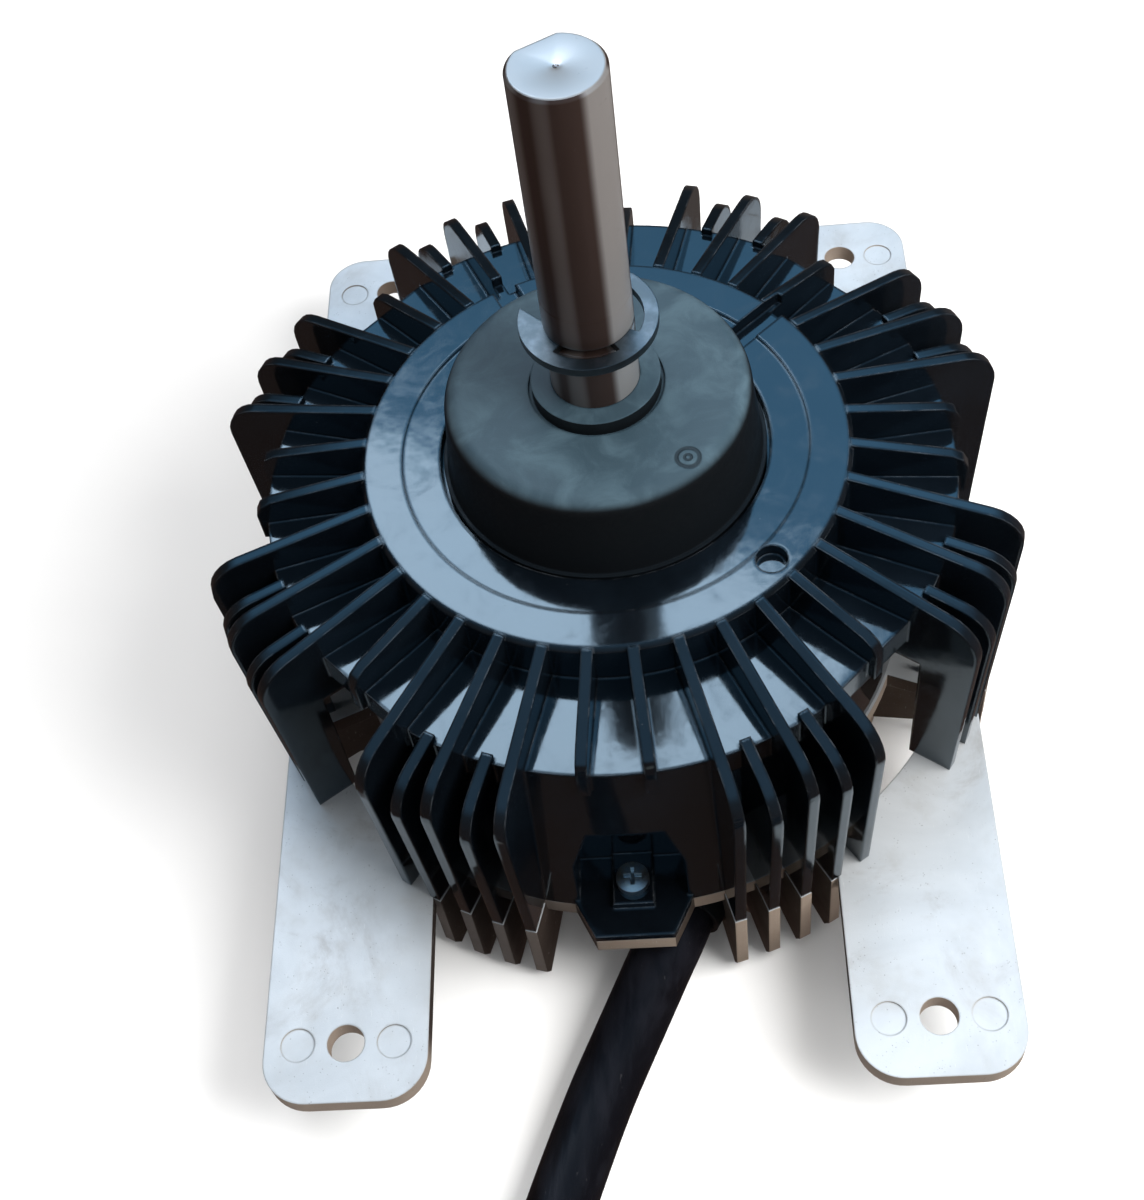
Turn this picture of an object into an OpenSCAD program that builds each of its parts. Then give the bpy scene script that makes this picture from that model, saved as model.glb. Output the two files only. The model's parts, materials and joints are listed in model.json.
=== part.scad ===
// Brushless fan motor with a moulded finned housing and a die-cast mounting bracket.
// Origin: centre of the bowl's underside, on the shaft axis. +Z is up along the shaft,
// -Y is the side that the cable leaves from. Angles are measured from -Y towards +X.

/* [Bracket] */
// Height of the top of the mounting feet above the bowl's underside
feet_z = 22; // [20:1:30]
// Thickness of the bracket plate
plate_t = 3.8; // [3:0.2:6]
// Distance between foot holes across the motor
foot_span_x = 102; // [96:1:130]
// Distance between foot holes along the motor
foot_span_y = 178; // [165:1:220]
// Width of each leg
leg_w = 29; // [24:1:34]
// Diameter of the foot holes
foot_hole_d = 6.6; // [5:0.1:9]
// Outer radius of the round flange
flange_r = 66; // [66:0.5:70]
// Outer radius of the bowl
bowl_r = 51.5; // [50:0.5:52]

/* [Housing] */
// Height of the moulded housing, from the feet to its flat top
housing_h = 50; // [48:1:62]
// Radius of the flat top
top_r = 43.5; // [40:0.5:48]
// Radius of the shoulder's edge
shoulder_r = 62; // [58:0.5:66]
// Drop from the flat top to the shoulder
shoulder_drop = 8.5; // [6:0.5:12]
// Outer radius of the fins at their upper corner
fin_r = 74; // [70:0.5:90]
// Thickness of a fin
fin_t = 2; // [1.6:0.1:3]

/* [Shaft] */
// Diameter of the output shaft
shaft_d = 15; // [15:0.5:16]
// Length of shaft that stands above the slinger
shaft_out = 64.5; // [45:0.5:90]
// Distance from the axis to the drive flat
flat_dist = 6; // [5.5:0.1:6.5]
// Length of the drive flat
flat_len = 44; // [30:1:44]
// Height of the retaining ring above the slinger's boss
ring_gap = 13.3; // [6:0.1:14]

/* [Motor] */
// Outer radius of the stator core
stator_r = 50; // [48:0.5:50]
// Length of the stator core
stack_h = 24; // [20:1:28]
// Outer radius of the rotor
rotor_r = 30.3; // [28:0.1:31]
// Air gap between rotor and stator
air_gap = 0.7; // [0.5:0.1:1.2]
// Number of stator teeth and coils
teeth = 12; // [12]
// Number of rotor magnets
magnets = 10; // [10]

/* [Cable] */
// Diameter of the sleeved cable
cable_d = 12.5; // [9:0.5:12.5]

/* [Hidden] */
$fn = 96;
eps = 0.01;
joint_overlap = 0.5;          // how far one shape of a solid reaches into the next

// Heights of the main levels
plate_z = feet_z - plate_t;
top_z = feet_z + housing_h;
shoulder_z = top_z - shoulder_drop;
floor_t = 4;
roof_t = 5;
cavity_top = shoulder_z - roof_t;

// Bearings, size 6202: 15 x 35 x 11 mm with 8 balls
bearing_r = 17.5;
bearing_w = 11;
race_out_r = 14.6;
race_in_r = 10.4;
pitch_r = 12.5;
ball_r = 2.95;
ball_gap = 0.08;
ball_count = 8;
shield_t = 0.5;
shield_seat_r = 15.4;
shield_inset = 0.4;
spring_h = 1.2;
lower_bearing_z = floor_t + spring_h;
seat_wall = 4;
upper_bearing_z = top_z - 4;
boss_r = bearing_r + 5;
boss_z = top_z + 11;
lip_hole_r = bearing_r - 7;

// Shaft
shaft_r = shaft_d / 2;
shoulder_step = 1.25;
slinger_r = 28;
slinger_top = top_z + 16;
slinger_boss_z = slinger_top + 2.2;
shaft_bottom = floor_t + 1.4;
shaft_top = slinger_boss_z + shaft_out;
ring_z = slinger_boss_z + ring_gap;
ring_t = 1.5;
groove_t = 1.6;
ring_grip = 0.02;
ring_mouth_angle = 138;
ring_mouth = 10.5;
ring_reach = 4;
ring_relief_reach = 1.6;
ring_relief_at = 51;
ring_relief_half = 36;
groove_r = shaft_r - 1.5;
shaft_chamfer = 0.6;
flat_angle = -152;
flat_relief = 0.05;           // the hub's seat is this much smaller where the flat runs
flat_start = max(shaft_top - flat_len, ring_z + groove_t);
centre_mark_r = 1.2;
centre_mark_depth = 0.25;

// Housing
recess_r = slinger_r + 1.2;
recess_depth = 2.6;
inner_ring_r = top_r - 7.5;
inner_ring_drop = 0.3;
top_cut = 0.8;
boss_cut = 1;
wall_r = stator_r + 3.5;
duct_out_r = flange_r - 2;
duct_from = 38;
duct_to = 67;
duct_h = 30;
panel_half = 15;
fin_angles = [15, 25, 35, 55, 65, 75];
side_short_angles = [5, 85];
corner_short_angle = 45;
mid_angles = [20, 30, 60, 70];
fin_corner = 7.5;
seat_gap = 0.05;              // fins and tongues stay this far off the flange
corner_steps = 6;
fin_top_drop = 4.2;
fin_foot_r = fin_r - 1.7;
mid_fin_drop = 7;
short_fin_reach = 1.5;
short_fin_nose = [            // inwards and down from the nose of a short fin
    [3, -0.5], [1, 0.6], [0, 2.5]
];
short_fin_chin = [4, 4.5];
chord_dist = shoulder_r - 1.5;
chord_half = 12.5;
blind_r = 2.7;
blind_depth = 2.2;
blind_at = top_r - 4.7;
slot_w = 4.6;
slot_angles = [132, -155];

// Housing screws and the pockets that they sit in
screw_at = flange_r - 3.5;
screw_r = 1.5;
screw_head_r = 3;
screw_head_h = 2.2;
tongue_t = 1.6;
screw_seat = 1.4;
screw_seat_half = 3.6;
screw_seat_len = 11;
screw_hole_h = 10;
screw_dome = 8;
screw_cross = [3.2, 0.7, 1.2];
tongue_at = flange_r + 6.5;
tongue_half = 7;
tongue_root_half = 10.7;
tongue_root = 8;
pocket_half = 9.7;
pocket_top_half = 6.5;
pocket_h = 13;
pocket_top = 23.5;
pocket_back = screw_at - 5.5;
pocket_reach = 20;
side_angles = [0, 90, 180, 270];

// Bracket
bowl_wall = 4;
foot_end = 10.5;
leg_corner = 8;
window_in_r = wall_r + 0.5;
window_out_r = flange_r - 1;
lower_fin_t = 2.2;
lower_fin_angles = [15, 20, 25, 30, 70, 75];
lower_fin_tip = 0.5;
lower_fin_root = [2, 5];      // heights of its lower edge at the bowl and at the bend
lower_fin_bend = 8;
lower_fin_cut = [1.5, 3];
lower_fin_gap = 0.4;
ejector_r = 3;
ejector_depth = 0.25;
ejector_offset = 8.5;
post_r = 3.4;
post_floor = 2;
seat_drop = 1;                // the bearing stands this far out of its seat
post_at = bowl_r - 10;
post_angles = [45, 135, 225, 315];
gasket_in = stator_r + 0.7;
gasket_out = gasket_in + 1.6;
gasket_t = 1.4;
screw_boss_r = 3.1;
screw_boss_h = 3.2;
screw_boss_floor = 1;

// Circuit board
board_z = feet_z - 4;
board_t = 1.6;
board_r = bowl_r - bowl_wall - 1.2;
board_hole_r = 11;
board_screw_r = 1.5;
land = [20, 24];
land_at = [-34, 0];
module_size = [22, 26, 4];
pad_t = 0.6;
land_z = board_z - module_size[2] - pad_t;
capacitor_r = 5;
capacitor_h = 12;
capacitor_at = [[31, 11], [31, -1]];
connector_at = [17, -35];
connector_size = [13, 6, 7];
chip_at = [0, -26, 0];
chip_size = [9, 7, 1.6];
sensor_angles = [160, 184, 208];
sensor_size = [1.6, 4, 2.4];
board_screw_len = 8;
board_screw_head = [2.7, 1.8];
pin_w = 0.9;

// Stator and rotor
stator_headroom = 4.5;
stator_z = cavity_top - stator_headroom - stack_h;
bore_r = rotor_r + air_gap;
seat_step = 3;
yoke_w = 7;
tooth_w = 7;
tip_t = 2.4;
tip_angle = 24;
liner_t = 1;
insulator_rim = 3.6;
winding_clear = 0.4;
insulator_r = stator_r - seat_step - 0.4;
coil_w = 3.2;
coil_in_r = bore_r + tip_t + 1;
coil_out_r = stator_r - yoke_w - 1.2;
rotor_h = stack_h + 6;
rotor_z = stator_z - 3;
magnet_t = 5;
sleeve_t = 0.3;
end_plate_t = 1.5;
magnet_gap = 0.5;
core_r = rotor_r - sleeve_t - magnet_t;
core_in_r = shaft_r + shoulder_step;
core_hole_at = (core_r + core_in_r) / 2;
core_hole_r = (core_r - core_in_r) / 2 - 4.2;

// Cable route: exit, straight run, loose curve on the ground, then the coil
cable_r = cable_d / 2;
exit_point = [15, -49, 10.3];
exit_heading = -27;
entry_half = 11;
entry_wall = 3;
entry_front = 6;
entry_back = -20;
grommet_r = cable_r + 1.3;
grommet_neck_r = cable_r + 0.75;
grommet_tip_r = cable_r + 0.9;
grommet_rim = 1.5;
grommet_flange = 2;
grommet_tail = 9;
grommet_play = 0.05;
grommet_clear = 0.15;
grommet_start = entry_front - entry_wall - grommet_flange;
cable_points = [
    [15, -49, 10.3], [12.7, -53.5, 10.3], [10.5, -57.9, 10.3], [8.2, -62.4, 10.2],
    [6, -67, 9.8], [3.4, -72, 9.1], [0.5, -77.8, 8.1], [-3.5, -86, 7.1],
    [-7.5, -94.5, 6.5], [-11, -103, 6.4], [-14.5, -112, 6.4], [-18, -121.5, 6.4],
    [-21.5, -131, 6.4], [-25, -141, 6.4], [-28.5, -151, 6.4], [-32, -161, 6.4],
    [-35, -170, 6.4]
];
tail_points = [
    [78, -166.5, 6.4], [74, -161, 6.4], [68, -156.5, 6.4], [61, -153.5, 6.4],
    [54, -152.5, 6.4], [47, -153.5, 6.4], [40, -156, 6.4], [34, -160.5, 6.4],
    [30, -166, 6.4], [27.5, -171, 6.4], [26.5, -176.5, 6.4], [26.5, -181.5, 6.4]
];
cable_sides = 12;
coil_centre = [29.5, -194.5, 6.4];
coil_outer_turn = 69;
coil_inner_turn = 56;
tie_angle = 245;
tie_w = 4.6;
tie_t = 1.2;
shrink_len = 16;
shrink_end_r = cable_r - 0.1;
wire_r = 0.95;
wire_len = 18;
wire_pitch = 2.2;
wire_count = 5;
plug_size = [16, 22, 12.4];
plug_wall = 1.2;
plug_mouth = 9;
terminal_w = 1.4;
terminal_len = 7;

// ---- shared shapes ----

// Turns a shape drawn along +X so that it points at an angle from -Y
module at_angle(a) {
    rotate([0, 0, a - 90]) children();
}

// A plate of given thickness whose outline is drawn in radius and height
module radial_plate(thickness) {
    rotate([90, 0, 0])
        linear_extrude(thickness, center = true) children();
}

// The four mirrored copies of a front right shape
module four_quadrants() {
    for (mx = [0, 1], my = [0, 1])
        mirror([mx, 0, 0]) mirror([0, my, 0]) children();
}

// A ring with a rectangular section
module ring(outer, inner, low, high) {
    translate([0, 0, low])
        linear_extrude(high - low)
            difference() {
                circle(outer);
                circle(inner);
            }
}

// A block centred in plan
module block(size, low, high) {
    translate([-size[0] / 2, -size[1] / 2, low])
        cube([size[0], size[1], high - low]);
}

// ---- bracket ----

// Trapezoid tongue at each housing screw, in plan, pointing along +X
module tongue_outline() {
    polygon([
        [flange_r - tongue_root, -tongue_root_half - 2], [flange_r - 1, -tongue_root_half],
        [tongue_at, -tongue_half], [tongue_at, tongue_half],
        [flange_r - 1, tongue_root_half], [flange_r - tongue_root, tongue_root_half + 2]
    ]);
}

module flange_outline() {
    circle(flange_r);
    for (a = side_angles) at_angle(a) tongue_outline();
}

// One leg from the centre line to its rounded end
module leg_outline() {
    x0 = foot_span_x / 2 - leg_w / 2;
    y_end = foot_span_y / 2 + foot_end;
    translate([x0, -y_end + leg_corner]) square([leg_w, y_end - leg_corner]);
    translate([x0 + leg_corner, -y_end])
        square([leg_w - 2 * leg_corner, leg_corner + eps]);
    for (x = [x0 + leg_corner, x0 + leg_w - leg_corner])
        translate([x, -y_end + leg_corner]) circle(leg_corner);
}

// Opening that the cooling air passes through, beside each leg's root
module window_outline() {
    difference() {
        polygon([
            [0, 0],
            2 * fin_r * [sin(duct_from), -cos(duct_from)],
            2 * fin_r * [sin(duct_to), -cos(duct_to)]
        ]);
        circle(window_in_r);
    }
}

module bracket_fin() {
    radial_plate(lower_fin_t) polygon([
        [bowl_r - joint_overlap, lower_fin_root[0]],
        [bowl_r - joint_overlap, plate_z + joint_overlap],
        [flange_r - 1, plate_z + joint_overlap],
        [flange_r + lower_fin_gap, feet_z - lower_fin_gap],
        [fin_foot_r, feet_z - lower_fin_gap], [fin_foot_r, lower_fin_tip + lower_fin_cut[1]],
        [fin_foot_r - lower_fin_cut[0], lower_fin_tip],
        [bowl_r + lower_fin_bend, lower_fin_root[1]]
    ]);
}

// Box through the bowl's wall that squares it up to the cable
module cable_entry(half, back, front, low) {
    translate([exit_point[0], exit_point[1], low]) rotate([0, 0, exit_heading])
        translate([-half, -front, 0]) cube([2 * half, front - back, plate_z - low + eps]);
}

module gland_axis() {
    translate(exit_point) rotate([90, 0, exit_heading]) children();
}

module mounting_bracket() color("silver") difference() {
    union() {
        translate([0, 0, plate_z]) linear_extrude(plate_t) difference() {
            union() {
                flange_outline();
                four_quadrants() leg_outline();
            }
            four_quadrants() intersection() {
                window_outline();
                circle(window_out_r);
            }
        }
        cylinder(h = plate_z + joint_overlap, r = bowl_r);
        four_quadrants() for (a = lower_fin_angles) at_angle(a) bracket_fin();
        for (a = side_angles) at_angle(a) translate([screw_at, 0, plate_z - screw_boss_h])
            cylinder(h = screw_boss_h + joint_overlap, r = screw_boss_r);
        cable_entry(entry_half, entry_back, entry_front, 0);
    }
    // room for the board, then its posts, bearing seat and heat land stay
    difference() {
        union() {
            translate([0, 0, floor_t]) cylinder(h = feet_z, r = bowl_r - bowl_wall);
            cable_entry(entry_half - entry_wall, entry_back, entry_front - entry_wall, floor_t);
        }
        translate([0, 0, floor_t - eps]) {
            cylinder(h = lower_bearing_z + bearing_w - seat_drop - floor_t,
                     r = bearing_r + seat_wall);
            for (a = post_angles) at_angle(a) translate([post_at, 0, 0])
                cylinder(h = board_z - floor_t + eps, r = post_r);
            translate(land_at) block(land, 0, land_z - floor_t + eps);
        }
    }
    translate([0, 0, floor_t]) cylinder(h = feet_z, r = bearing_r);
    for (a = post_angles) at_angle(a) translate([post_at, 0, floor_t + post_floor])
        cylinder(h = board_z, r = board_screw_r);
    for (a = side_angles) at_angle(a)
        translate([screw_at, 0, plate_z - screw_boss_h + screw_boss_floor])
            cylinder(h = feet_z, r = screw_r);
    gland_axis() cylinder(h = entry_front + joint_overlap, r = grommet_neck_r);
    gland_axis() translate([0, 0, entry_front])
        cylinder(h = grommet_tail + grommet_clear, r = grommet_r + grommet_clear);
    gland_axis() translate([0, 0, grommet_start - grommet_play])
        cylinder(h = grommet_flange + grommet_play, r = grommet_r + grommet_play);
    ring(gasket_out, gasket_in, feet_z - gasket_t, feet_z + 1);
    four_quadrants() translate([foot_span_x / 2, -foot_span_y / 2, plate_z - 1]) {
        cylinder(h = plate_t + 2, d = foot_hole_d);
        for (side = [-1, 1]) translate([side * ejector_offset, 0, plate_t + 1 - ejector_depth])
            cylinder(h = 1, r = ejector_r);
    }
}

// ---- housing ----

// Height of the fins' sloping top edge at a radius
function fin_edge(r) = top_z - fin_top_drop * (r - top_r) / (fin_r - 7 - top_r);

// Outline of a finned edge with a rounded upper corner
module fin_outline(inner, top_in, low) {
    slope = atan(fin_top_drop / (fin_r - 7 - top_r));
    centre_r = fin_r - fin_corner;
    centre_z = top_in - tan(slope) * (centre_r - inner) - fin_corner / cos(slope);
    corner = [for (i = [0:corner_steps])
        let (a = 90 - slope - i * (90 - slope) / corner_steps)
            [centre_r + fin_corner * cos(a), centre_z + fin_corner * sin(a)]];
    root = max(inner, wall_r - joint_overlap);
    polygon(concat([[root, low], [root, cavity_top + 1], [inner, cavity_top + 1], [inner, top_in]],
        corner, [[fin_foot_r, low]]));
}

// Gap behind the fins that stand over the bracket's windows, under the shoulder
module air_duct() {
    translate([top_r - 1, feet_z - 1])
        square([duct_out_r - top_r + 1, duct_h + 1]);
}

module full_fin(over_window) {
    radial_plate(fin_t) difference() {
        fin_outline(top_r - joint_overlap, fin_edge(top_r - joint_overlap), feet_z + seat_gap);
        if (over_window) air_duct();
    }
}

module middle_fin(over_window) {
    radial_plate(fin_t) difference() {
        fin_outline(shoulder_r - 1, top_z - mid_fin_drop, feet_z + seat_gap);
        if (over_window) air_duct();
    }
}

module short_fin(edge) {
    reach = edge + short_fin_reach;
    radial_plate(fin_t) polygon([
        [top_r - joint_overlap, shoulder_z - 2], [top_r - joint_overlap, top_z],
        for (step = short_fin_nose) [reach - step[0], fin_edge(reach) - step[1]],
        [reach, shoulder_z - short_fin_chin[0]],
        [reach - short_fin_chin[0], shoulder_z - short_fin_chin[1]]
    ]);
}

// Solid of revolution that the fins grow from
module housing_body() {
    rotate_extrude() polygon([
        [0, feet_z], [wall_r, feet_z], [wall_r, shoulder_z - joint_overlap],
        [top_r, shoulder_z - joint_overlap], [top_r, top_z - top_cut], [top_r - top_cut, top_z],
        [inner_ring_r, top_z], [inner_ring_r, top_z - inner_ring_drop],
        [recess_r, top_z - inner_ring_drop], [recess_r, top_z - recess_depth],
        [boss_r, top_z - recess_depth], [boss_r, boss_z - boss_cut], [boss_r - boss_cut, boss_z],
        [0, boss_z]
    ]);
}

// Step below the flat top, cut straight at each corner between the full fins
module housing_shoulder() {
    translate([0, 0, cavity_top - 1]) linear_extrude(shoulder_z - cavity_top + 1) difference() {
        circle(shoulder_r);
        four_quadrants() at_angle(45)
            translate([chord_dist, -chord_half]) square([shoulder_r, 2 * chord_half]);
    }
}

// Drafted wall at each side that carries a screw
module screw_panel() {
    at_angle(0) rotate([0, 0, -panel_half]) rotate_extrude(angle = 2 * panel_half)
        polygon([
            [wall_r - joint_overlap, feet_z + 2 * seat_gap], [flange_r, feet_z + 2 * seat_gap],
            [shoulder_r, shoulder_z], [wall_r - joint_overlap, shoulder_z]
        ]);
}

module screw_pocket() {
    low = feet_z + tongue_t;
    at_angle(0) translate([pocket_back, 0, 0]) rotate([90, 0, 90]) linear_extrude(pocket_reach) {
        polygon([
            [-pocket_half, low], [pocket_half, low], [pocket_half, feet_z + pocket_h],
            [pocket_top_half, feet_z + pocket_top], [-pocket_top_half, feet_z + pocket_top],
            [-pocket_half, feet_z + pocket_h]
        ]);
    }
}

module housing_tongues() {
    for (a = side_angles) at_angle(a) {
        translate([0, 0, feet_z + seat_gap]) linear_extrude(tongue_t - seat_gap) tongue_outline();
        translate([pocket_back - 1, -screw_seat_half, feet_z + tongue_t - eps])
            cube([screw_seat_len, 2 * screw_seat_half, screw_seat + eps]);
    }
}

module motor_housing() color("#15181c") difference() {
    union() {
        difference() {
            union() {
                housing_body();
                housing_shoulder();
                for (a = side_angles) rotate([0, 0, a]) screw_panel();
                four_quadrants() {
                    for (a = fin_angles) at_angle(a) full_fin(a > duct_from && a < duct_to);
                    for (a = mid_angles) at_angle(a) middle_fin(a > duct_from && a < duct_to);
                    for (a = side_short_angles) at_angle(a) short_fin(shoulder_r);
                    at_angle(corner_short_angle) short_fin(chord_dist);
                }
            }
            for (a = side_angles) rotate([0, 0, a]) screw_pocket();
        }
        housing_tongues();
    }
    translate([0, 0, feet_z - 1]) cylinder(h = stator_z + stack_h - feet_z + 1, r = stator_r);
    translate([0, 0, feet_z]) cylinder(h = cavity_top - feet_z, r = stator_r - seat_step);
    translate([0, 0, feet_z]) cylinder(h = upper_bearing_z + bearing_w - feet_z, r = bearing_r);
    translate([0, 0, feet_z]) cylinder(h = boss_z, r = lip_hole_r);
    for (a = side_angles) at_angle(a) translate([screw_at, 0, feet_z - 1])
        cylinder(h = screw_hole_h, r = screw_r);
    at_angle(45) translate([blind_at, 0, top_z - blind_depth]) cylinder(h = 10, r = blind_r);
    for (a = slot_angles) at_angle(a)
        translate([boss_r + 1, -slot_w / 2, top_z - recess_depth])
            cube([top_r - boss_r + 2, slot_w, 10]);
}

module housing_gasket() color("#202020")
    ring(gasket_out, gasket_in, feet_z - gasket_t, feet_z);

module housing_screws() color("#c9ccd0") for (a = side_angles) at_angle(a) {
    seat = feet_z + tongue_t + screw_seat;
    translate([screw_at, 0, 0]) difference() {
        union() {
            translate([0, 0, plate_z - screw_boss_h + screw_boss_floor + 0.5])
                cylinder(h = seat - plate_z + screw_boss_h, r = screw_r);
            translate([0, 0, seat]) rotate_extrude() intersection() {
                translate([0, screw_head_h - screw_dome]) circle(screw_dome);
                square([screw_head_r, screw_head_h]);
            }
        }
        for (turn = [0, 90]) rotate([0, 0, turn])
            translate([-screw_cross[0] / 2, -screw_cross[1] / 2, seat + screw_head_h - screw_cross[2]])
                cube([screw_cross[0], screw_cross[1], screw_head_h]);
    }
}

// ---- shaft line ----

module output_shaft() color("#b8bcc2") {
    rotate_extrude() polygon([
        [0, shaft_bottom], [shaft_r - shaft_chamfer, shaft_bottom],
        [shaft_r, shaft_bottom + shaft_chamfer],
        [shaft_r, lower_bearing_z + bearing_w], [shaft_r + shoulder_step, lower_bearing_z + bearing_w],
        [shaft_r + shoulder_step, upper_bearing_z], [shaft_r, upper_bearing_z],
        [shaft_r, ring_z - groove_t / 2], [groove_r, ring_z - groove_t / 2],
        [groove_r, ring_z + groove_t / 2], [shaft_r, ring_z + groove_t / 2],
        [shaft_r, flat_start], [0, flat_start]
    ]);
    // the end that carries the hub, with its flat
    at_angle(flat_angle) difference() {
        rotate_extrude() polygon([
            [0, flat_start - joint_overlap], [shaft_r - flat_relief, flat_start - joint_overlap],
            [shaft_r - flat_relief, shaft_top - shaft_chamfer], [shaft_r - shaft_chamfer, shaft_top],
            [centre_mark_r, shaft_top], [0, shaft_top - centre_mark_depth]
        ]);
        translate([flat_dist, -shaft_r, flat_start - 1])
            cube([shaft_r, shaft_d, flat_len + 2]);
    }
}

// E-shaped ring: a mouth to push it on, and a relief each side of its middle lug
module shaft_retaining_ring() color("#d5d8dc") {
    outer = shaft_r + ring_reach;
    relief_out = shaft_r + ring_relief_reach;
    translate([0, 0, ring_z - ring_t / 2]) rotate([0, 0, ring_mouth_angle]) linear_extrude(ring_t)
        difference() {
            circle(outer);
            circle(groove_r + ring_grip);
            translate([0, -ring_mouth / 2]) square([outer, ring_mouth]);
            for (side = [-1, 1]) rotate([0, 0, 180 + side * ring_relief_at]) intersection() {
                circle(relief_out);
                polygon([
                    [0, 0], 2 * relief_out * [cos(ring_relief_half), -sin(ring_relief_half)],
                    2 * relief_out * [cos(ring_relief_half), sin(ring_relief_half)]
                ]);
            }
        }
}

module rubber_slinger() color("#26282a") {
    wall = 2.6;
    edge = 3;
    rim = [0.6, 1.1];
    slit = 0.6;
    top_reach = slinger_r - 1.6;
    low = top_z - recess_depth + 0.9;
    hub_low = boss_z + 0.6;
    hub_r = 11;
    rotate_extrude() {
        difference() {
            union() {
                polygon([
                    [0, low], [slinger_r, low], [top_reach, slinger_top - edge],
                    [top_reach - edge, slinger_top], [0, slinger_top]
                ]);
                translate([top_reach - edge, slinger_top - edge]) circle(edge);
                translate([0, low]) square([slinger_r + rim[0], rim[1]]);
                translate([0, slinger_top - 1]) square([hub_r, slinger_boss_z - slinger_top + 1]);
            }
            translate([-1, low - 1])
                square([top_reach - wall + 1, slinger_top - wall - low + 1]);
            translate([-1, low]) square([shaft_r + 1, shaft_top]);
            translate([hub_r, slinger_top - slit]) square([slit, 2]);
        }
        translate([shaft_r, hub_low]) square([hub_r - shaft_r, slinger_top - hub_low]);
    }
}

// ---- bearings ----

module raceway() {
    translate([pitch_r, bearing_w / 2]) circle(ball_r + ball_gap);
}

module outer_race(z) {
    translate([0, 0, z]) rotate_extrude() difference() {
        translate([race_out_r, 0]) square([bearing_r - race_out_r, bearing_w]);
        raceway();
        for (y = [-1, bearing_w - shield_inset - shield_t])
            translate([race_out_r - 1, y])
                square([shield_seat_r - race_out_r + 1, shield_inset + shield_t + 1]);
    }
}

module inner_race(z) {
    translate([0, 0, z]) rotate_extrude() difference() {
        translate([shaft_r, 0]) square([race_in_r - shaft_r, bearing_w]);
        raceway();
    }
}

module balls(z) {
    for (i = [0:ball_count - 1]) rotate([0, 0, i * 360 / ball_count])
        translate([pitch_r, 0, z + bearing_w / 2]) sphere(ball_r);
}

module cage(z) {
    difference() {
        ring(pitch_r + 0.9, pitch_r - 0.9, z + bearing_w / 2 - 4.2, z + bearing_w / 2 + 1.8);
        for (i = [0:ball_count - 1]) rotate([0, 0, i * 360 / ball_count])
            translate([pitch_r, 0, z + bearing_w / 2]) sphere(ball_r + 0.15);
    }
}

module shields(z) {
    ring(shield_seat_r, race_in_r + 0.35, z + shield_inset, z + shield_inset + shield_t);
    ring(shield_seat_r, race_in_r + 0.35, z + bearing_w - shield_inset - shield_t,
         z + bearing_w - shield_inset);
}

module upper_bearing_outer_race() color("#c4c7cb") outer_race(upper_bearing_z);
module upper_bearing_inner_race() color("#c4c7cb") inner_race(upper_bearing_z);
module upper_bearing_balls() color("#e3e5e8") balls(upper_bearing_z);
module upper_bearing_cage() color("#9a8f70") cage(upper_bearing_z);
module upper_bearing_shields() color("#8d9196") shields(upper_bearing_z);
module lower_bearing_outer_race() color("#c4c7cb") outer_race(lower_bearing_z);
module lower_bearing_inner_race() color("#c4c7cb") inner_race(lower_bearing_z);
module lower_bearing_balls() color("#e3e5e8") balls(lower_bearing_z);
module lower_bearing_cage() color("#9a8f70") cage(lower_bearing_z);
module lower_bearing_shields() color("#8d9196") shields(lower_bearing_z);

// Spring washer under the lower bearing's outer race
module bearing_preload_spring() color("#9da2a8")
    ring(bearing_r - 0.3, race_out_r + 0.2, floor_t, lower_bearing_z);

// ---- rotor ----

// Lightening holes through the core and its end plates
module core_holes() {
    for (i = [0:4]) rotate([0, 0, i * 72]) translate([core_hole_at, 0, rotor_z - 1])
        cylinder(h = rotor_h + 2, r = core_hole_r);
}

module rotor_core() color("#6d7176") difference() {
    ring(core_r, core_in_r, rotor_z + end_plate_t, rotor_z + rotor_h - end_plate_t);
    core_holes();
}

module rotor_magnets() color("#3a3c40") for (i = [0:magnets - 1]) {
    span = 360 / magnets - magnet_gap;
    rotate([0, 0, i * 360 / magnets]) rotate_extrude(angle = span)
        translate([core_r, rotor_z + end_plate_t])
            square([magnet_t, rotor_h - 2 * end_plate_t]);
}

module rotor_sleeve() color("#a9adb2")
    ring(rotor_r, rotor_r - sleeve_t, rotor_z, rotor_z + rotor_h);

module rotor_end_plates() color("#b39a55") for (z = [rotor_z, rotor_z + rotor_h - end_plate_t])
    difference() {
        ring(rotor_r - sleeve_t, core_in_r, z, z + end_plate_t);
        core_holes();
    }

// ---- stator ----

module each_tooth() {
    for (i = [0:teeth - 1]) rotate([0, 0, i * 360 / teeth]) children();
}

// Plan of the teeth, wider or narrower than the steel by a margin
module tooth_outline(margin) {
    each_tooth() translate([bore_r + 1, -tooth_w / 2 - margin])
        square([stator_r - yoke_w - bore_r, tooth_w + 2 * margin]);
}

// Ring sectors that face the rotor
module tooth_tips(inner, outer) {
    each_tooth() difference() {
        polygon([
            [0, 0], 1.2 * outer * [cos(tip_angle / 2), -sin(tip_angle / 2)],
            1.2 * outer * [cos(tip_angle / 2), sin(tip_angle / 2)]
        ]);
        circle(inner);
        difference() {
            circle(2 * outer);
            circle(outer);
        }
    }
}

module stator_core() color("#7f858c") translate([0, 0, stator_z]) linear_extrude(stack_h) {
    difference() {
        circle(stator_r);
        circle(stator_r - yoke_w);
    }
    tooth_outline(0);
    tooth_tips(bore_r, bore_r + tip_t);
}

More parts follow.
